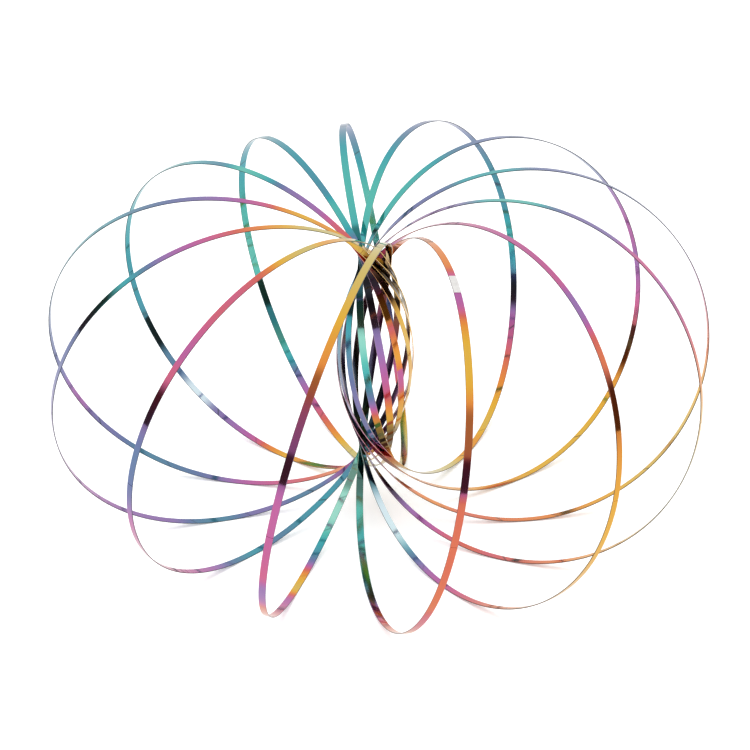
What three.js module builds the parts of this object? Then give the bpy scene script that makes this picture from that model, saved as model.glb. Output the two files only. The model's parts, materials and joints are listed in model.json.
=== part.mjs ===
// Spring coil toy: one endless flat strip of spring steel, popped open into a ring of round loops that all pass
// through a tight hub. Millimetres, +Z up. The origin is on the surface that the toy rests on, under the middle
// of its box. Each loop is cut where it is furthest from the hub and where it is nearest to the hub axis, so that
// its upper and lower half-turns can fold down together round a small pivot.
import * as THREE from "three";

const degrees = THREE.MathUtils.degToRad;

// The ring of loops.
const LOOPS = 13;
const LOOP_RADIUS = 65; // the folded coil has the same radius
const HUB_TO_LOOP = 51.5; // from the hub axis to the middle of a loop
const LOOP_TILT = degrees(84.8); // a loop's plane, from level
const FIRST_BEARING = degrees(5.9);
const HUB_OPENING = 1.3; // sideways shift that holds the hub open for the strips
const SAG = 1.8; // how far a loop's outermost point hangs below its middle

// The toy stands by hand, so its loops are not spaced quite evenly and its outline is not quite round.
const OUTLINE_WAVES = [
  { times: 1, size: 4.3, at: degrees(-51) },
  { times: 2, size: 3.2, at: degrees(5) },
  { times: 3, size: 3.5, at: degrees(110) },
];
const BEARING_SWING = { size: degrees(3), at: degrees(21) };

// The strip.
const STRIP_WIDTH = 2.6;
const STRIP_THICKNESS = 0.35;
const HUB_TWIST = degrees(-30); // the strips lean on each other like shingles where they pass the hub
const HUB_TWIST_REACH = degrees(9);
const HALF_TURN_STEPS = 30;

// Each half-turn stops short of the cut at its outer and its inner end.
const OUTER_CLEARANCE = 1.0;
const INNER_CLEARANCE = 1.7;
const PIVOT_RADIUS = 0.65;
const PIVOT_SIDES = 12;

const HUB_PHASE = Math.acos(-HUB_TO_LOOP / LOOP_RADIUS); // where a loop passes nearest the hub axis

// The strip's middle line on one loop. The phase is 0 at the outermost point, and runs up and over to 180 degrees.
function stripPoint(loop, phase) {
  const precession = (phase + 2 * Math.PI * loop) / LOOPS;
  const wave = OUTLINE_WAVES.reduce((sum, w) => sum + w.size * Math.cos(w.times * precession - w.at), 0);
  const swing = BEARING_SWING.size * Math.cos(precession - BEARING_SWING.at);
  const outward = HUB_TO_LOOP + (wave * (1 + Math.cos(phase))) / 2 + LOOP_RADIUS * Math.cos(phase);
  const sideways = LOOP_RADIUS * Math.sin(phase) * Math.cos(LOOP_TILT) - HUB_OPENING * Math.sin(2 * phase);
  const height = LOOP_RADIUS * Math.sin(phase) * Math.sin(LOOP_TILT) - SAG * Math.cos(phase);
  return turned(outward, sideways, height, FIRST_BEARING + precession + swing);
}

// The direction that faces out of the loop, at right angles to the strip before any twist.
function loopOutward(loop, phase) {
  const precession = (phase + 2 * Math.PI * loop) / LOOPS;
  const swing = BEARING_SWING.size * Math.cos(precession - BEARING_SWING.at);
  const rise = Math.sin(phase);
  const bearing = FIRST_BEARING + precession + swing;
  return turned(Math.cos(phase), rise * Math.cos(LOOP_TILT), rise * Math.sin(LOOP_TILT), bearing);
}

function turned(outward, sideways, height, bearing) {
  const up = new THREE.Vector3(0, 0, 1);
  return new THREE.Vector3(outward, sideways, height).applyAxisAngle(up, bearing);
}

// The strip's cross-section axes at a phase: across its thickness, across its width and along its length.
function stripAxes(loop, phase) {
  const step = 1e-4;
  const along = stripPoint(loop, phase + step).sub(stripPoint(loop, phase - step)).normalize();
  const through = loopOutward(loop, phase);
  through.addScaledVector(along, -through.dot(along)).normalize();
  const across = along.clone().cross(through);
  const fromHub = (Math.abs(phase) - HUB_PHASE) / HUB_TWIST_REACH;
  const twist = Math.sign(phase) * HUB_TWIST * Math.exp(-fromHub * fromHub);
  through.applyAxisAngle(along, twist);
  across.applyAxisAngle(along, twist);
  return { through, across, along };
}

// A straight strip, bent onto the loop between two phases.
function halfTurn(loop, from, to) {
  const strip = new THREE.BoxGeometry(STRIP_THICKNESS, STRIP_WIDTH, 1, 1, 1, HALF_TURN_STEPS);
  const position = strip.getAttribute("position");
  const corner = new THREE.Vector3();
  for (let i = 0; i < position.count; i++) {
    corner.fromBufferAttribute(position, i);
    const phase = THREE.MathUtils.lerp(from, to, corner.z + 0.5);
    const { through, across } = stripAxes(loop, phase);
    const place = stripPoint(loop, phase).addScaledVector(through, corner.x).addScaledVector(across, corner.y);
    position.setXYZ(i, place.x, place.y, place.z);
  }
  strip.computeVertexNormals();
  return strip;
}

// A round pin end in the gap between the two half-turns, with its axis facing out of the loop.
function pivot(loop) {
  const pin = new THREE.CylinderGeometry(PIVOT_RADIUS, PIVOT_RADIUS, STRIP_THICKNESS, PIVOT_SIDES);
  const { through, across, along } = stripAxes(loop, 0);
  pin.applyMatrix4(new THREE.Matrix4().makeBasis(across, through, along.negate()));
  pin.translate(...stripPoint(loop, 0));
  return pin;
}

// The heat-tinted colour runs round the ring from gold through pink, violet and blue to green.
function tintedSteel(share) {
  const colour = new THREE.Color().setHSL((1.12 - 0.6 * share) % 1, 0.55, 0.5);
  return new THREE.MeshStandardMaterial({ color: colour, metalness: 1, roughness: 0.2 });
}

function addMesh(group, name, geometry, share) {
  const mesh = new THREE.Mesh(geometry, tintedSteel(share));
  mesh.name = name;
  group.add(mesh);
}

const toy = new THREE.Group();
const outerPhase = OUTER_CLEARANCE / LOOP_RADIUS;
const innerPhase = Math.PI - INNER_CLEARANCE / LOOP_RADIUS;
for (let loop = 0; loop < LOOPS; loop++) {
  const number = String(loop + 1).padStart(2, "0");
  const share = loop / LOOPS;
  addMesh(toy, `upper_turn_${number}`, halfTurn(loop, outerPhase, innerPhase), share);
  addMesh(toy, `lower_turn_${number}`, halfTurn(loop, -innerPhase, -outerPhase), share);
  addMesh(toy, `outer_pivot_${number}`, pivot(loop), share);
}

// The origin goes under the middle of the box.
const box = new THREE.Box3().setFromObject(toy);
const middle = box.getCenter(new THREE.Vector3());
toy.position.set(-middle.x, -middle.y, -box.min.z);

export default toy;
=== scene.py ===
"""Spring coil toy: the finish of one endless, heat-tinted steel strip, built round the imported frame."""

import json
import math

import bmesh
import bpy
from mathutils import Matrix, Quaternion, Vector


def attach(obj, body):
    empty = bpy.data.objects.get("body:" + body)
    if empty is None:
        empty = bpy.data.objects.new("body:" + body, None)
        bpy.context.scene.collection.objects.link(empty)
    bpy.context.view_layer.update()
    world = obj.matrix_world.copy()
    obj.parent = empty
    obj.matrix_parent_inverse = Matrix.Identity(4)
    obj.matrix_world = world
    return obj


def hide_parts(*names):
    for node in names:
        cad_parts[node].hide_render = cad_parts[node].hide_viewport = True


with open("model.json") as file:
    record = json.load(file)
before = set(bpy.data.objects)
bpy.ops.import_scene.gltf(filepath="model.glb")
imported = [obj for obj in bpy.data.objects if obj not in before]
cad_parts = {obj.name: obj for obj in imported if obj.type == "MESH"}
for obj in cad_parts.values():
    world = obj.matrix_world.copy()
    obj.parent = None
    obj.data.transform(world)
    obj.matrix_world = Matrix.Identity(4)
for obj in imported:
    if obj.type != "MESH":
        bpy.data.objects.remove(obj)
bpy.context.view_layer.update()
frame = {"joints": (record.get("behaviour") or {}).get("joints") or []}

bl_info = {
    "name": "Spring Coil Toy",
    "version": (1, 0, 0),
    "blender": (4, 5, 0),
    "location": "View3D > Sidebar > Coil Toy",
    "description": "Builds a rainbow-tinted spring coil toy with its floor, light and camera",
    "category": "Add Mesh",
}

# --------------------------------------------------------------------------------------------------
# The strip's path, in metres. These are the design's own driving dimensions.

LOOPS = 13
LOOP_RADIUS = 0.065
HUB_TO_LOOP = 0.0515
LOOP_TILT = math.radians(84.8)
FIRST_BEARING = math.radians(5.9)
HUB_OPENING = 0.0013
SAG = 0.0018
OUTLINE_WAVES = (
    (1, 0.0043, math.radians(-51)),
    (2, 0.0032, math.radians(5)),
    (3, 0.0035, math.radians(110)),
)
BEARING_SWING = (math.radians(3), math.radians(21))
HUB_TWIST = math.radians(-30)
HUB_TWIST_REACH = math.radians(9)
HUB_PHASE = math.acos(-HUB_TO_LOOP / LOOP_RADIUS)

# How the heat tint runs: a row for each wave round the ring, and in it a size for each wave round a loop.
TINT_WAVES = (
    (0.40, 0.06, 0.11, 0.03, 0.07, 0.02, 0.00),
    (-0.04, -0.26, 0.15, 0.02, -0.03, 0.00, 0.01),
    (0.10, 0.23, 0.41, 0.04, -0.24, 0.00, 0.03),
    (-0.01, 0.03, 0.03, -0.08, 0.04, -0.07, 0.02),
    (-0.02, 0.01, -0.05, 0.01, 0.06, 0.04, 0.03),
)

# Marks where the heat ran hotter or cooler: loop, phase and half-width in degrees, and the shift in tint.
TINT_MARKS = (
    (1, 100, 12, 0.25), (1, -122, 10, -0.15), (1, 180, 30, 0.30),
    (2, -180, 30, 0.30), (2, 20, 14, -0.20), (2, 118, 20, 0.12), (2, 180, 24, 0.36),
    (3, -12, 16, 0.18), (3, -86, 10, 0.14), (3, -180, 38, 0.36), (3, -154, 12, 0.20), (3, 180, 22, 0.60),
    (4, -180, 14, 0.60), (4, 180, 16, 0.12),
    (5, -180, 12, 0.12), (5, -42, 10, 0.26), (5, 126, 8, 0.20), (5, 158, 6, -0.40),
    (5, 172, 7, -0.20),
    (6, -176, 5, 0.20), (6, -84, 8, -0.15), (6, 96, 10, 0.28), (6, 130, 7, -0.14), (6, 162, 22, -0.16),
    (7, -180, 20, -0.08), (7, -66, 18, 0.20), (7, -26, 8, -0.18), (7, 112, 7, -0.14),
    (8, 50, 12, 0.28), (8, -84, 10, 0.22), (8, -116, 8, 0.25),
    (9, 4, 14, 0.24), (9, 34, 8, -0.18), (9, -86, 9, 0.20), (9, 72, 10, 0.12), (9, 108, 10, 0.20),
    (10, 28, 14, 0.12), (10, -26, 7, 0.26), (10, -90, 9, -0.62), (10, -124, 14, 0.10),
    (11, 76, 9, 0.32), (11, 52, 10, -0.10), (11, 20, 5, 0.25), (11, -36, 9, 0.14), (11, -98, 14, 0.28),
    (12, 57, 7, 0.20), (12, 44, 6, -0.05), (12, -112, 10, 0.26),
    (13, 54, 8, -0.18), (13, 96, 14, 0.42), (13, -104, 8, -0.12),
)

# Painted shade where the crowded hub's strips shade each other: loop, phase and half-width in degrees, and
# how dark.
PAINTED_SHADE_MARKS = (
    (3, 146, 4, 0.60), (4, 151, 9, 0.92), (5, 148, 7, 0.92), (6, 150, 9, 0.95), (7, 150, 10, 0.95),
    (8, 151, 10, 0.95), (9, 152, 9, 0.90),
    (1, -136, 8, 0.80), (2, -139, 7, 0.60), (4, -152, 8, 0.70), (5, -150, 8, 0.85), (6, -148, 8, 0.85),
    (7, -147, 6, 0.60), (11, -133, 7, 0.75), (12, -137, 5, 0.85), (13, -133, 8, 0.85),
)

# Painted highlights, white reflections of a light on the strip: loop, phase and half-width in degrees, and
# how pale.
PAINTED_HIGHLIGHT_MARKS = (
    (6, -49, 6, 0.92), (12, -121, 10, 0.92),
)

# Finish of the strip: colours over the heat tint, and how strongly each one shows. Besides the ticks, these
# are painted light: a highlight, hub shade and rim outlines.
TICK_COLOUR = (0.02, 0.035, 0.04)
TICK_STRENGTH = 0.75
# Painted highlight: the pale blue-white that stands for a light mirrored in the strip.
PAINTED_HIGHLIGHT_COLOUR = (0.72, 0.86, 0.91)
# Painted shade: the near-black that stands for the hub's strips shading each other.
PAINTED_SHADE_COLOUR = (0.012, 0.006, 0.004)
# Painted shade: a dark outline along the rounded edges of the open loops.
OUTER_RIM_SHADE_COLOUR = (0.04, 0.05, 0.05)
# Painted highlight: the bright orange that the hub's edges take from the light above.
HUB_RIM_HIGHLIGHT_COLOUR = (0.98, 0.72, 0.42)
HUB_RIM_SHARE = 0.4
RIM_STRENGTH = 0.85
DRIFT_OF_TINT = 0.10
TINT_RANGE = (-0.1, 1.1)
LACQUER = {"Coat Weight": 0.25, "Coat IOR": 1.7, "Coat Roughness": 0.1}
GRAIN_DEPTH = 0.5
GLOSS_CHANGE = 0.08

# Where the hub's own tint and painted shade begin, as phases in degrees, and how far they go.
HUB_STARTS = 126
HUB_SOFTNESS = 4
COOLEST_TINT = -0.12
COOLEST_TINT_RISE_IN_HUB = 0.10
# Painted shade on the face that looks into the hub: how dark it gets, and how far in it reaches.
INWARD_PAINTED_SHADE = 0.75
INWARD_PAINTED_SHADE_REACH = 8
DARKEST_PAINTED_SHADE = 0.95

# Shares of the strip's own sizes.
RIM_SHARE = 0.6
LAP_WIDTH_SHARE = 0.98
LAP_THICKNESS_SHARE = 0.7
LAP_LIFT_SHARE = 0.82
WELD_LIFT_SHARE = 1.2

EDGE_SEGMENTS = 4
FLAT_ANGLE = math.radians(10)

# The bright room that the strip mirrors: a dark gap low on the near side, and two soft grey screens,
# each by its azimuth, elevation and radius in degrees and its depth.
GAP_HEIGHT = (math.radians(15), math.radians(24))
GAP_DEPTH = 0.99
GAP_FACING = (-0.208, -0.978, 0)
GAP_SIDES = (-0.6, -0.45)
GAP_COLOUR = (0.085, 0.05, 0.035)
SCREENS = ((240, 40, 26, 0.60), (305, 27, 17, 0.55))
SCREEN_SOFTNESS = 5

# Tone of the floor to the camera and in the strip, and how much it glows to the camera.
FLOOR_TONES = ((0.93, 0.93, 0.93), (0.78, 0.78, 0.78))
FLOOR_GLOW = 0.22
FLOOR_SIZE = 4
LAMP_PLACE = Vector((-0.25, -0.2, 1.3))
LAMP_SIZE = 1.2
AIM_BELOW_MIDDLE = 0.0065


def turned(outward, sideways, height, bearing):
    """A point or direction given in a loop's own axes, turned to the loop's bearing."""
    across = math.cos(bearing), math.sin(bearing)
    return Vector((
        outward * across[0] - sideways * across[1],
        outward * across[1] + sideways * across[0],
        height,
    ))


def bearing_of(loop, phase):
    precession = (phase + 2 * math.pi * loop) / LOOPS
    size, at = BEARING_SWING
    return precession, FIRST_BEARING + precession + size * math.cos(precession - at)


def path_point(loop, phase):
    """The strip's middle line round the hub. Phase 0 is a loop's outermost point, and runs up and over."""
    precession, bearing = bearing_of(loop, phase)
    wave = sum(size * math.cos(times * precession - at) for times, size, at in OUTLINE_WAVES)
    outward = HUB_TO_LOOP + wave * (1 + math.cos(phase)) / 2 + LOOP_RADIUS * math.cos(phase)
    sideways = LOOP_RADIUS * math.sin(phase) * math.cos(LOOP_TILT) - HUB_OPENING * math.sin(2 * phase)
    height = LOOP_RADIUS * math.sin(phase) * math.sin(LOOP_TILT) - SAG * math.cos(phase)
    return turned(outward, sideways, height, bearing)


def path_axes(loop, phase):
    """The strip's section at a phase: through its thickness, across its width and along its length."""
    step = 1e-4
    along = (path_point(loop, phase + step) - path_point(loop, phase - step)).normalized()
    rise = math.sin(phase)
    facing = math.cos(phase), rise * math.cos(LOOP_TILT), rise * math.sin(LOOP_TILT)
    through = turned(*facing, bearing_of(loop, phase)[1])
    through = (through - through.dot(along) * along).normalized()
    across = along.cross(through)
    from_hub = (abs(phase) - HUB_PHASE) / HUB_TWIST_REACH
    twist = Quaternion(along, math.copysign(HUB_TWIST, phase) * math.exp(-from_hub * from_hub))
    return twist @ through, twist @ across, along


# The first fold's pivot lies on the path at phase 0 of the first loop, which places the path in the frame.
FIRST_FOLD = next(j for j in frame["joints"] if j["name"] == "collapse")
HUB = Vector(FIRST_FOLD["pos_m"]) - path_point(0, 0)


def numbered(name, loop):
    return f"{name}_{loop + 1:02d}"


# --------------------------------------------------------------------------------------------------
# Settings

class CoilStripSettings(bpy.types.PropertyGroup):
    width: bpy.props.FloatProperty(
        name="Strip Width", description="Width of the flat strip", default=0.0026, min=0.001, unit="LENGTH"
    )
    thickness: bpy.props.FloatProperty(
        name="Strip Thickness", description="Thickness of the strip", default=0.00035, min=0.0001,
        unit="LENGTH",
    )
    edge_radius: bpy.props.FloatProperty(
        name="Edge Radius", description="Radius of the strip's rolled edges", default=0.00015, unit="LENGTH"
    )
    fold_gap: bpy.props.FloatProperty(
        name="Fold Gap", description="From the middle of each outer fold to the strip's end",
        default=0.00012, min=0, unit="LENGTH",
    )
    steps: bpy.props.IntProperty(
        name="Steps", description="Steps along each half-turn", default=110, min=12
    )


class CoilTintSettings(bpy.types.PropertyGroup):
    gold: bpy.props.FloatVectorProperty(
        name="Gold", description="First tint of the heat colours", subtype="COLOR", size=3,
        default=(0.77, 0.43, 0.035), min=0, max=1,
    )
    rose: bpy.props.FloatVectorProperty(
        name="Rose", description="Middle tint of the heat colours", subtype="COLOR", size=3,
        default=(0.60, 0.12, 0.26), min=0, max=1,
    )
    teal: bpy.props.FloatVectorProperty(
        name="Teal", description="Last tint of the heat colours", subtype="COLOR", size=3,
        default=(0.04, 0.36, 0.41), min=0, max=1,
    )
    roughness: bpy.props.FloatProperty(
        name="Roughness", description="Roughness of the polished strip", default=0.07, min=0, max=1,
        subtype="FACTOR",
    )


class CoilStageSettings(bpy.types.PropertyGroup):
    lens: bpy.props.FloatProperty(
        name="Lens", description="Focal length of the camera", default=144.7, subtype="DISTANCE_CAMERA"
    )
    distance: bpy.props.FloatProperty(
        name="Camera Distance", description="From the camera to the toy's middle", default=1.067,
        unit="LENGTH",
    )
    elevation: bpy.props.FloatProperty(
        name="Camera Elevation", description="Height angle of the camera above level",
        default=math.radians(29.9), subtype="ANGLE",
    )
    light_power: bpy.props.FloatProperty(
        name="Light Power", description="Power of the soft light overhead", default=9.0, min=0,
        subtype="POWER",
    )


# --------------------------------------------------------------------------------------------------
# Shader node groups

def new_group(name, inputs, outputs):
    group = bpy.data.node_groups.new(name, "ShaderNodeTree")
    for label, kind, value in inputs:
        socket = group.interface.new_socket(label, in_out="INPUT", socket_type=kind)
        socket.default_value = value
    for label, kind in outputs:
        group.interface.new_socket(label, in_out="OUTPUT", socket_type=kind)
    ins = group.nodes.new("NodeGroupInput")
    outs = group.nodes.new("NodeGroupOutput")
    return group, ins, outs


def math_node(tree, operation, first, second=None, clamp=False):
    node = tree.nodes.new("ShaderNodeMath")
    node.operation = operation
    node.use_clamp = clamp
    for socket, value in zip(node.inputs, (first, second)):
        if value is None:
            continue
        if isinstance(value, bpy.types.NodeSocket):
            tree.links.new(value, socket)
        else:
            socket.default_value = value
    return node.outputs[0]


def mix_colours(tree, share, first, second):
    """The first colour turning into the second as the share goes from 0 to 1."""
    node = tree.nodes.new("ShaderNodeMix")
    node.data_type = "RGBA"
    if isinstance(share, bpy.types.NodeSocket):
        tree.links.new(share, node.inputs["Factor"])
    else:
        node.inputs["Factor"].default_value = share
    for label, colour in (("A", first), ("B", second)):
        if isinstance(colour, bpy.types.NodeSocket):
            tree.links.new(colour, node.inputs[label])
        else:
            node.inputs[label].default_value = (*colour, 1)
    return node.outputs["Result"]


def attribute_value(tree, name):
    node = tree.nodes.new("ShaderNodeAttribute")
    node.attribute_name = name
    return node.outputs["Fac"]


def strip_coordinates(tree, stretch):
    """The strip's own UV map, in metres along and across it, stretched by a scale for each direction."""
    uv = tree.nodes.new("ShaderNodeUVMap")
    uv.uv_map = "strip"
    mapping = tree.nodes.new("ShaderNodeMapping")
    mapping.inputs["Scale"].default_value = stretch
    tree.links.new(uv.outputs["UV"], mapping.inputs["Vector"])
    return mapping.outputs["Vector"]


def noise_value(tree, vector, scale, detail=2.0):
    node = tree.nodes.new("ShaderNodeTexNoise")
    node.inputs["Scale"].default_value = scale
    node.inputs["Detail"].default_value = detail
    tree.links.new(vector, node.inputs["Vector"])
    return node.outputs["Fac"]


def rolled_grain_group():
    """Fine lines that cold rolling leaves along the strip, with a slow change of gloss."""
    group, ins, outs = new_group(
        "rolled_grain",
        (("Line Depth", "NodeSocketFloat", 0.5), ("Gloss Change", "NodeSocketFloat", 0.06)),
        (("Height", "NodeSocketFloat"), ("Roughness Shift", "NodeSocketFloat")),
    )
    lines = noise_value(group, strip_coordinates(group, (60, 9000, 1)), 1.0, 3.0)
    patches = noise_value(group, strip_coordinates(group, (90, 400, 1)), 1.0, 2.0)
    height = math_node(group, "MULTIPLY", lines, ins.outputs["Line Depth"])
    centred = math_node(group, "SUBTRACT", patches, 0.5)
    shift = math_node(group, "MULTIPLY", centred, ins.outputs["Gloss Change"])
    group.links.new(height, outs.inputs["Height"])
    group.links.new(shift, outs.inputs["Roughness Shift"])
    return group


def tint_drift_group():
    """Small drifts of the heat tint along the strip, so that no band of colour is quite even."""
    group, ins, outs = new_group(
        "tint_drift",
        (("Tint", "NodeSocketFloat", 0.5), ("Drift", "NodeSocketFloat", 0.06)),
        (("Tint", "NodeSocketFloat"),),
    )
    slow = noise_value(group, strip_coordinates(group, (28, 60, 1)), 1.0, 2.0)
    centred = math_node(group, "SUBTRACT", slow, 0.5)
    drift = math_node(group, "MULTIPLY", centred, ins.outputs["Drift"])
    group.links.new(math_node(group, "ADD", ins.outputs["Tint"], drift), outs.inputs["Tint"])
    return group


def cross_ticks_group():
    """Short dark lines across the strip, here and there, where it has sprung against its neighbours."""
    group, ins, outs = new_group(
        "cross_ticks",
        (("Spacing", "NodeSocketFloat", 45.0), ("Width", "NodeSocketFloat", 0.03)),
        (("Mask", "NodeSocketFloat"),),
    )
    split = group.nodes.new("ShaderNodeSeparateXYZ")
    group.links.new(strip_coordinates(group, (1, 0.8, 1)), split.inputs["Vector"])
    slanted = math_node(group, "ADD", split.outputs["X"], split.outputs["Y"])
    cells = group.nodes.new("ShaderNodeTexVoronoi")
    cells.voronoi_dimensions = "1D"
    cells.feature = "DISTANCE_TO_EDGE"
    cells.inputs["Scale"].default_value = 1.0
    group.links.new(math_node(group, "MULTIPLY", slanted, ins.outputs["Spacing"]), cells.inputs["W"])
    line = group.nodes.new("ShaderNodeMapRange")
    line.interpolation_type = "SMOOTHSTEP"
    line.inputs["To Min"].default_value = 1.0
    line.inputs["To Max"].default_value = 0.0
    group.links.new(cells.outputs["Distance"], line.inputs["Value"])
    group.links.new(ins.outputs["Width"], line.inputs["From Max"])
    here = noise_value(group, strip_coordinates(group, (24, 0, 1)), 1.0, 1.0)
    chosen = group.nodes.new("ShaderNodeMapRange")
    chosen.inputs["From Min"].default_value = 0.44
    chosen.inputs["From Max"].default_value = 0.56
    group.links.new(here, chosen.inputs["Value"])
    mask = math_node(group, "MULTIPLY", line.outputs["Result"], chosen.outputs["Result"])
    group.links.new(mask, outs.inputs["Mask"])
    return group


# --------------------------------------------------------------------------------------------------
# Materials

def shared_group(name, make):
    return bpy.data.node_groups.get(name) or make()


def shared_material(name, make):
    return bpy.data.materials.get(name) or make()


def principled(name, metallic, roughness):
    material = bpy.data.materials.new(name)
    material.use_nodes = True
    shader = material.node_tree.nodes["Principled BSDF"]
    shader.inputs["Metallic"].default_value = metallic
    shader.inputs["Roughness"].default_value = roughness
    return material, material.node_tree, shader


def place_group(tree, group, **values):
    node = tree.nodes.new("ShaderNodeGroup")
    node.node_tree = group
    for label, value in values.items():
        node.inputs[label.replace("_", " ")].default_value = value
    return node


def add_grain(tree, shader, roughness, line_depth, gloss_change):
    group = shared_group("rolled_grain", rolled_grain_group)
    grain = place_group(tree, group, Line_Depth=line_depth, Gloss_Change=gloss_change)
    bump = tree.nodes.new("ShaderNodeBump")
    bump.inputs["Strength"].default_value = 0.12
    bump.inputs["Distance"].default_value = 0.00002
    tree.links.new(grain.outputs["Height"], bump.inputs["Height"])
    tree.links.new(bump.outputs["Normal"], shader.inputs["Normal"])
    rough = math_node(tree, "ADD", grain.outputs["Roughness Shift"], roughness, clamp=True)
    tree.links.new(rough, shader.inputs["Roughness"])


def heat_ramp(tree, tints):
    """The order of a heat tint's colours: olive, gold, orange, salmon, rose, violet, blue, teal and mint."""
    ramp = tree.nodes.new("ShaderNodeValToRGB")
    stops = (
        (0.60, 0.50, 0.16),
        tuple(tints.gold),
        (0.78, 0.25, 0.04),
        (0.66, 0.13, 0.10),
        tuple(tints.rose),
        (0.46, 0.12, 0.36),
        (0.32, 0.16, 0.42),
        (0.22, 0.18, 0.40),
        (0.14, 0.18, 0.37),
        (0.10, 0.23, 0.35),
        tuple(tints.teal),
        (0.10, 0.50, 0.43),
        (0.33, 0.70, 0.58),
    )
    elements = ramp.color_ramp.elements
    last = len(stops) - 1
    for _ in range(last - 1):
        elements.new(0.5)
    for number, colour in enumerate(stops):
        elements[number].position = number / last
        elements[number].color = (*colour, 1)
    return ramp


def tinted_steel(tints):
    """The strip's polished steel: its heat tint, and over it the ticks, a painted highlight, painted shade
    in the hub, and painted rims: a dark outline, and bright highlights in the hub.
    """
    material, tree, shader = principled("heat_tinted_steel", 1.0, tints.roughness)
    drift = place_group(tree, shared_group("tint_drift", tint_drift_group), Drift=DRIFT_OF_TINT)
    tree.links.new(attribute_value(tree, "tint"), drift.inputs["Tint"])
    ramp = heat_ramp(tree, tints)
    on_ramp = tree.nodes.new("ShaderNodeMapRange")
    on_ramp.inputs["From Min"].default_value, on_ramp.inputs["From Max"].default_value = TINT_RANGE
    tree.links.new(drift.outputs["Tint"], on_ramp.inputs["Value"])
    tree.links.new(on_ramp.outputs["Result"], ramp.inputs["Fac"])
    ticks = place_group(tree, shared_group("cross_ticks", cross_ticks_group))
    ticked = math_node(tree, "MULTIPLY", ticks.outputs["Mask"], attribute_value(tree, "inner"))
    ticked = math_node(tree, "MULTIPLY", ticked, TICK_STRENGTH)
    lined = mix_colours(tree, ticked, ramp.outputs["Color"], TICK_COLOUR)
    # Painted highlight where the strip mirrors a light.
    highlighted = mix_colours(tree, attribute_value(tree, "painted_highlight"), lined, PAINTED_HIGHLIGHT_COLOUR)
    # Painted shade in the crowded hub, darkening the strip where its neighbours shade it.
    shaded = mix_colours(tree, attribute_value(tree, "painted_shade"), highlighted, PAINTED_SHADE_COLOUR)
    # Painted rims: a dark outline on the open loops, and bright painted highlights on the edges in the hub.
    bright_rim = mix_colours(tree, HUB_RIM_SHARE, ramp.outputs["Color"], HUB_RIM_HIGHLIGHT_COLOUR)
    rim = mix_colours(tree, attribute_value(tree, "hub"), OUTER_RIM_SHADE_COLOUR, bright_rim)
    painted_rim = math_node(tree, "MULTIPLY", attribute_value(tree, "edge"), RIM_STRENGTH)
    tree.links.new(mix_colours(tree, painted_rim, shaded, rim), shader.inputs["Base Color"])
    for label, value in LACQUER.items():
        shader.inputs[label].default_value = value
    add_grain(tree, shader, tints.roughness, GRAIN_DEPTH, GLOSS_CHANGE)
    return material


def bare_steel():
    """Ground steel where the strip's two ends are welded."""
    material, tree, shader = principled("bare_steel", 1.0, 0.3)
    mottle = tree.nodes.new("ShaderNodeTexNoise")
    mottle.inputs["Scale"].default_value = 900
    coordinates = tree.nodes.new("ShaderNodeTexCoord")
    tree.links.new(coordinates.outputs["Object"], mottle.inputs["Vector"])
    ramp = tree.nodes.new("ShaderNodeValToRGB")
    ramp.color_ramp.elements[0].color = (0.72, 0.70, 0.68, 1)
    ramp.color_ramp.elements[1].color = (0.95, 0.94, 0.92, 1)
    tree.links.new(mottle.outputs["Fac"], ramp.inputs["Fac"])
    tree.links.new(ramp.outputs["Color"], shader.inputs["Base Color"])
    return material


def pale_floor():
    material, tree, shader = principled("pale_floor", 0.0, 0.9)
    shader.inputs["Specular IOR Level"].default_value = 0.1
    shader.inputs["Emission Color"].default_value = (1, 1, 1, 1)
    ray = tree.nodes.new("ShaderNodeLightPath")
    tone = mix_colours(tree, ray.outputs["Is Glossy Ray"], *FLOOR_TONES)
    tree.links.new(tone, shader.inputs["Base Color"])
    glow = math_node(tree, "MULTIPLY", ray.outputs["Is Camera Ray"], FLOOR_GLOW)
    tree.links.new(glow, shader.inputs["Emission Strength"])
    return material


# --------------------------------------------------------------------------------------------------
# Meshes

def waves(angle, count):
    """A constant, then the cosine and sine of each whole multiple of an angle."""
    return [1.0] + [turn(n * angle) for n in range(1, count + 1) for turn in (math.cos, math.sin)]


def marks_at(marks, loop, phase):
    """The marks of one loop, each with a flat middle and soft ends, added up at a phase."""
    total = 0.0
    for number, at, reach, size in marks:
        if number == loop + 1:
            distance = (math.degrees(phase) - at) / reach
            total += size * math.exp(-distance ** 4)
    return total


def near_hub(phase):
    """How far inside the hub a phase is, from 0 on the open loop to 1 in the hub."""
    return 1 / (1 + math.exp((HUB_STARTS - abs(math.degrees(phase))) / HUB_SOFTNESS))


def heat_tint(loop, phase):
    """Where the heat tint's colour stands on its ramp, from olive just under 0 through gold to mint at 1."""
    round_ring = waves(FIRST_BEARING + bearing_of(loop, phase)[0], 2)
    round_loop = waves(phase, 3)
    smooth = sum(
        size * ring_wave * loop_wave
        for ring_wave, sizes in zip(round_ring, TINT_WAVES)
        for loop_wave, size in zip(round_loop, sizes)
    )
    coolest = COOLEST_TINT + COOLEST_TINT_RISE_IN_HUB * near_hub(phase)
    return max(smooth + marks_at(TINT_MARKS, loop, phase), coolest)


def hub_painted_shade(loop, phase, face):
    """Painted shade in the crowded hub: how dark the strip is at the marks on both faces, and inside the hub
    on the face that looks in.
    """
    inside = math.degrees(abs(phase) - HUB_PHASE) / INWARD_PAINTED_SHADE_REACH
    looks_in = INWARD_PAINTED_SHADE / (1 + math.exp(-inside * 3)) if face < 0 else 0.0
    return min(DARKEST_PAINTED_SHADE, max(looks_in, marks_at(PAINTED_SHADE_MARKS, loop, phase)))


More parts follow.
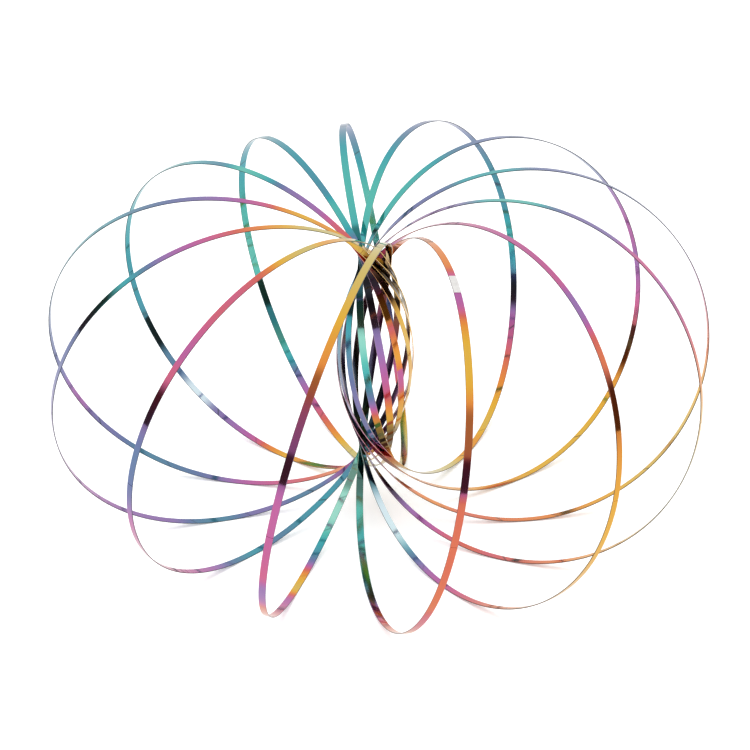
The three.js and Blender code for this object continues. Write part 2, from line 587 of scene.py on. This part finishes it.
def straight_bar(bm, width, thickness, edge_radius, steps):
    """A bar of unit length along Z, thick along X and wide along Y, with round edges and cut into steps."""
    bmesh.ops.create_cube(bm, size=1)
    bmesh.ops.scale(bm, vec=(thickness, width, 1), verts=bm.verts)
    bmesh.ops.translate(bm, vec=(0, 0, 0.5), verts=bm.verts)
    lengthwise = [e for e in bm.edges if abs(e.verts[0].co.z - e.verts[1].co.z) > 0.5]
    bmesh.ops.bevel(
        bm, geom=lengthwise, offset=edge_radius, offset_type="OFFSET", segments=EDGE_SEGMENTS, profile=0.5,
        affect="EDGES", material=-1,
    )
    lengthwise = [e for e in bm.edges if abs(e.verts[0].co.z - e.verts[1].co.z) > 0.5]
    bmesh.ops.subdivide_edges(bm, edges=lengthwise, cuts=steps - 1, use_grid_fill=True)


def bend_onto_path(bm, loop, start, end, lift, settings):
    """Bends a straight bar onto the path between two phases, and writes its tint, edge and UV values."""
    tint = bm.verts.layers.float.new("tint")
    edge = bm.verts.layers.float.new("edge")
    painted_shade = bm.verts.layers.float.new("painted_shade")
    painted_highlight = bm.verts.layers.float.new("painted_highlight")
    hub = bm.verts.layers.float.new("hub")
    inner = bm.verts.layers.float.new("inner")
    uv = bm.loops.layers.uv.new("strip")
    half_width = settings.width / 2
    before = loop * 2 * math.pi
    for face in bm.faces:
        for corner in face.loops:
            place = corner.vert.co
            phase = start + (end - start) * place.z
            corner[uv].uv = ((before + phase) * LOOP_RADIUS, place.y)
    sections = {}
    for vert in bm.verts:
        through, across, along_share = vert.co
        key = round(along_share, 6)
        phase = start + (end - start) * along_share
        if key not in sections:
            centre = HUB + path_point(loop, phase)
            sections[key] = centre, path_axes(loop, phase), heat_tint(loop, phase), near_hub(phase)
        centre, (out, side, _), colour, hub_share = sections[key]
        on_edge = abs(across) > half_width - settings.edge_radius * RIM_SHARE
        vert[tint] = colour
        vert[edge] = 1.0 if on_edge else 0.0
        # Painted shade in the hub, kept off the rims.
        vert[painted_shade] = 0.0 if on_edge else hub_painted_shade(loop, phase, through)
        # Painted highlight where the strip mirrors a light.
        vert[painted_highlight] = marks_at(PAINTED_HIGHLIGHT_MARKS, loop, phase)
        vert[inner] = 0.0 if on_edge or through > 0 else 1.0
        # How far into the hub, which turns the painted dark rim outline into a painted highlight.
        vert[hub] = hub_share
        vert.co = centre + out * (through + lift) + side * across


def finish_mesh(name, bm, material):
    """Makes the piece and frees its bmesh. Edges sharper than a small angle keep the flat faces flat."""
    bmesh.ops.recalc_face_normals(bm, faces=bm.faces)
    mesh = bpy.data.meshes.new(name)
    bm.to_mesh(mesh)
    bm.free()
    mesh.shade_smooth()
    mesh.set_sharp_from_angle(angle=FLAT_ANGLE)
    mesh.materials.append(material)
    piece = bpy.data.objects.new(name, mesh)
    bpy.context.collection.objects.link(piece)
    return piece


def strip_piece(name, loop, start, end, settings, material):
    bm = bmesh.new()
    straight_bar(bm, settings.width, settings.thickness, settings.edge_radius, settings.steps)
    bend_onto_path(bm, loop, start, end, 0.0, settings)
    return finish_mesh(name, bm, material)


def align_to_path(bm, loop, phase, lift):
    """Moves a flat round piece, made with its axis along Z, onto the strip's face at a phase."""
    through, across, along = path_axes(loop, phase)
    turn = Matrix((across, along, through)).transposed().to_4x4()
    place = Matrix.Translation(HUB + path_point(loop, phase) + through * lift)
    bmesh.ops.transform(bm, matrix=place @ turn, verts=bm.verts)


# --------------------------------------------------------------------------------------------------
# Operators

class COIL_OT_half_turns(bpy.types.Operator):
    """Make the upper and lower half-turn of every loop"""

    bl_idname = "coil.half_turns"
    bl_label = "Half-turns"

    def execute(self, context):
        settings = context.scene.coil_strip
        tints = context.scene.coil_tint
        material = shared_material("heat_tinted_steel", lambda: tinted_steel(tints))
        gap = settings.fold_gap / LOOP_RADIUS
        for loop in range(LOOPS):
            for node, start, end in (("upper_turn", gap, math.pi), ("lower_turn", -math.pi, -gap)):
                body = numbered(node, loop)
                piece = strip_piece(numbered(node + "_strip", loop), loop, start, end, settings, material)
                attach(piece, body)
                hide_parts(body)
        return {"FINISHED"}


class COIL_OT_pivots(bpy.types.Operator):
    """Make the flat round pin that each loop's half-turns fold about, and that fills the gap between them"""

    bl_idname = "coil.pivots"
    bl_label = "Outer Pivots"

    radius: bpy.props.FloatProperty(
        name="Radius", description="Radius of each pin, just under half the strip's width", default=0.00108,
        unit="LENGTH",
    )
    rim: bpy.props.FloatProperty(
        name="Rim", description="Thickness of each pin at its rim", default=0.00006, unit="LENGTH"
    )
    crown: bpy.props.FloatProperty(
        name="Crown", description="Thickness of each pin in its middle, just under the strip's thickness",
        default=0.00024, unit="LENGTH",
    )

    def execute(self, context):
        settings = context.scene.coil_strip
        tints = context.scene.coil_tint
        material = shared_material("heat_tinted_steel", lambda: tinted_steel(tints))
        reach = self.radius / LOOP_RADIUS
        for loop in range(LOOPS):
            bm = bmesh.new()
            bmesh.ops.create_cone(
                bm, cap_ends=True, cap_tris=True, segments=32, radius1=self.radius, radius2=self.radius,
                depth=self.rim,
            )
            middles = [vert for vert in bm.verts if vert.co.xy.length < self.radius / 2]
            bmesh.ops.scale(bm, vec=(1, 1, self.crown / self.rim), verts=middles)
            bmesh.ops.rotate(bm, matrix=Matrix.Rotation(math.radians(90), 3, "Y"), verts=bm.verts)
            bmesh.ops.scale(bm, vec=(1, 1, 0.5 / self.radius), verts=bm.verts)
            bmesh.ops.translate(bm, vec=(0, 0, 0.5), verts=bm.verts)
            bend_onto_path(bm, loop, -reach, reach, 0.0, settings)
            pin = finish_mesh(numbered("outer_pin", loop), bm, material)
            body = numbered("outer_pivot", loop)
            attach(pin, body)
            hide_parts(body)
        return {"FINISHED"}


class COIL_OT_lap_joint(bpy.types.Operator):
    """Make the lap where the strip's two ends are welded together"""

    bl_idname = "coil.lap_joint"
    bl_label = "Lap Joint"

    loop: bpy.props.IntProperty(name="Loop", description="Loop that holds the lap", default=10, min=0)
    phase: bpy.props.FloatProperty(
        name="Phase", description="Place of the lap's middle on its loop", default=math.radians(79),
        subtype="ANGLE",
    )
    length: bpy.props.FloatProperty(
        name="Length", description="Length of the lap", default=0.008, unit="LENGTH"
    )
    steps: bpy.props.IntProperty(name="Steps", description="Steps along the lap", default=14, min=2)
    weld_radius: bpy.props.FloatProperty(
        name="Weld Radius", description="Radius of each weld spot at its foot", default=0.0007, unit="LENGTH"
    )
    weld_top: bpy.props.FloatProperty(
        name="Weld Top", description="Radius of each weld spot at its top", default=0.00045, unit="LENGTH"
    )
    weld_height: bpy.props.FloatProperty(
        name="Weld Height", description="Height of each weld spot", default=0.00012, unit="LENGTH"
    )

    def execute(self, context):
        settings = context.scene.coil_strip
        half = self.length / 2 / LOOP_RADIUS
        body = numbered("upper_turn", self.loop)
        bm = bmesh.new()
        width = settings.width * LAP_WIDTH_SHARE
        thickness = settings.thickness * LAP_THICKNESS_SHARE
        straight_bar(bm, width, thickness, settings.edge_radius * RIM_SHARE, self.steps)
        start, end = self.phase - half, self.phase + half
        bend_onto_path(bm, self.loop, start, end, settings.thickness * LAP_LIFT_SHARE, settings)
        tab = finish_mesh("lap_tab", bm, shared_material("bare_steel", bare_steel))
        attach(tab, body)
        for number, share in enumerate((-0.5, 0.5), start=1):
            bm = bmesh.new()
            bmesh.ops.create_cone(
                bm, cap_ends=True, segments=20, radius1=self.weld_radius, radius2=self.weld_top,
                depth=self.weld_height,
            )
            align_to_path(bm, self.loop, self.phase + share * half, settings.thickness * WELD_LIFT_SHARE)
            spot = finish_mesh(f"weld_spot_{number}", bm, shared_material("bare_steel", bare_steel))
            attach(spot, body)
        return {"FINISHED"}


class COIL_OT_stage(bpy.types.Operator):
    """Make the pale floor, the soft light, the bright surroundings and the camera"""

    bl_idname = "coil.stage"
    bl_label = "Stage"

    def execute(self, context):
        settings = context.scene.coil_stage
        self.floor()
        self.surroundings(context)
        self.light(settings)
        self.camera(context, settings)
        context.scene.view_settings.view_transform = "Standard"
        return {"FINISHED"}

    def floor(self):
        bm = bmesh.new()
        bmesh.ops.create_grid(bm, x_segments=1, y_segments=1, size=FLOOR_SIZE)
        finish_mesh("floor", bm, pale_floor())

    def surroundings(self, context):
        """A bright room whose dark gap and grey screens show only in the strip, as black and dim bands."""
        world = bpy.data.worlds.new("studio")
        world.use_nodes = True
        tree = world.node_tree
        background = tree.nodes["Background"]
        coordinates = tree.nodes.new("ShaderNodeTexCoord")
        split = tree.nodes.new("ShaderNodeSeparateXYZ")
        tree.links.new(coordinates.outputs["Generated"], split.inputs["Vector"])
        height = tree.nodes.new("ShaderNodeMapRange")
        height.interpolation_type = "SMOOTHSTEP"
        height.inputs["From Min"].default_value = math.sin(GAP_HEIGHT[0])
        height.inputs["From Max"].default_value = math.sin(GAP_HEIGHT[1])
        height.inputs["To Min"].default_value = GAP_DEPTH
        height.inputs["To Max"].default_value = 0.0
        tree.links.new(split.outputs["Z"], height.inputs["Value"])
        near = tree.nodes.new("ShaderNodeVectorMath")
        near.operation = "DOT_PRODUCT"
        near.inputs[1].default_value = GAP_FACING
        tree.links.new(coordinates.outputs["Generated"], near.inputs[0])
        side = tree.nodes.new("ShaderNodeMapRange")
        side.interpolation_type = "SMOOTHSTEP"
        side.inputs["From Min"].default_value, side.inputs["From Max"].default_value = GAP_SIDES
        tree.links.new(near.outputs["Value"], side.inputs["Value"])
        dark = math_node(tree, "MULTIPLY", height.outputs["Result"], side.outputs["Result"])
        for screen in SCREENS:
            dark = math_node(tree, "MAXIMUM", dark, self.screen(tree, coordinates, *screen))
        ray = tree.nodes.new("ShaderNodeLightPath")
        first_mirror = math_node(tree, "LESS_THAN", ray.outputs["Glossy Depth"], 1.5)
        mirrored = math_node(tree, "MULTIPLY", ray.outputs["Is Glossy Ray"], first_mirror)
        room = mix_colours(tree, math_node(tree, "MULTIPLY", dark, mirrored), (1, 1, 1), GAP_COLOUR)
        tree.links.new(room, background.inputs["Color"])
        background.inputs["Strength"].default_value = 1.0
        context.scene.world = world

    def screen(self, tree, coordinates, azimuth, elevation, radius, depth):
        """How dark one soft round screen makes each direction in the room."""
        level = math.cos(math.radians(elevation))
        towards = tree.nodes.new("ShaderNodeVectorMath")
        towards.operation = "DOT_PRODUCT"
        towards.inputs[1].default_value = (
            level * math.cos(math.radians(azimuth)),
            level * math.sin(math.radians(azimuth)),
            math.sin(math.radians(elevation)),
        )
        tree.links.new(coordinates.outputs["Generated"], towards.inputs[0])
        shade = tree.nodes.new("ShaderNodeMapRange")
        shade.interpolation_type = "SMOOTHSTEP"
        shade.inputs["From Min"].default_value = math.cos(math.radians(radius + SCREEN_SOFTNESS))
        shade.inputs["From Max"].default_value = math.cos(math.radians(radius - SCREEN_SOFTNESS))
        shade.inputs["To Max"].default_value = depth
        tree.links.new(towards.outputs["Value"], shade.inputs["Value"])
        return shade.outputs["Result"]

    def light(self, settings):
        lamp = bpy.data.lights.new("soft_light", "AREA")
        lamp.shape = "DISK"
        lamp.size = LAMP_SIZE
        lamp.energy = settings.light_power
        obj = bpy.data.objects.new("soft_light", lamp)
        obj.location = LAMP_PLACE
        obj.rotation_euler = (-LAMP_PLACE).to_track_quat("-Z", "Y").to_euler()
        obj.visible_glossy = False
        bpy.context.collection.objects.link(obj)

    def camera(self, context, settings):
        lens = bpy.data.cameras.new("camera")
        lens.lens = settings.lens
        lens.sensor_width = 36
        lens.clip_start = 0.01
        obj = bpy.data.objects.new("camera", lens)
        back = Vector((0, -math.cos(settings.elevation), math.sin(settings.elevation)))
        obj.location = HUB + back * settings.distance
        aim = HUB - Vector((0, 0, AIM_BELOW_MIDDLE))
        obj.rotation_euler = (aim - obj.location).to_track_quat("-Z", "Y").to_euler()
        context.collection.objects.link(obj)
        context.scene.camera = obj


class COIL_PT_panel(bpy.types.Panel):
    bl_idname = "COIL_PT_panel"
    bl_label = "Spring Coil Toy"
    bl_space_type = "VIEW_3D"
    bl_region_type = "UI"
    bl_category = "Coil Toy"

    def draw(self, context):
        layout = self.layout
        for group in (context.scene.coil_strip, context.scene.coil_tint, context.scene.coil_stage):
            box = layout.box()
            for name in group.__annotations__:
                box.prop(group, name)
        for operator in OPERATORS:
            layout.operator(operator.bl_idname)


SETTINGS = {"coil_strip": CoilStripSettings, "coil_tint": CoilTintSettings, "coil_stage": CoilStageSettings}
OPERATORS = (COIL_OT_half_turns, COIL_OT_pivots, COIL_OT_lap_joint, COIL_OT_stage)


def register():
    for name, group in SETTINGS.items():
        bpy.utils.register_class(group)
        setattr(bpy.types.Scene, name, bpy.props.PointerProperty(type=group))
    for operator in OPERATORS:
        bpy.utils.register_class(operator)
    bpy.utils.register_class(COIL_PT_panel)


def unregister():
    bpy.utils.unregister_class(COIL_PT_panel)
    for operator in reversed(OPERATORS):
        bpy.utils.unregister_class(operator)
    for name, group in reversed(SETTINGS.items()):
        delattr(bpy.types.Scene, name)
        bpy.utils.unregister_class(group)


def main():
    register()
    bpy.ops.coil.half_turns()
    bpy.ops.coil.pivots()
    bpy.ops.coil.lap_joint()
    bpy.ops.coil.stage()


if __name__ == "__main__":
    main()
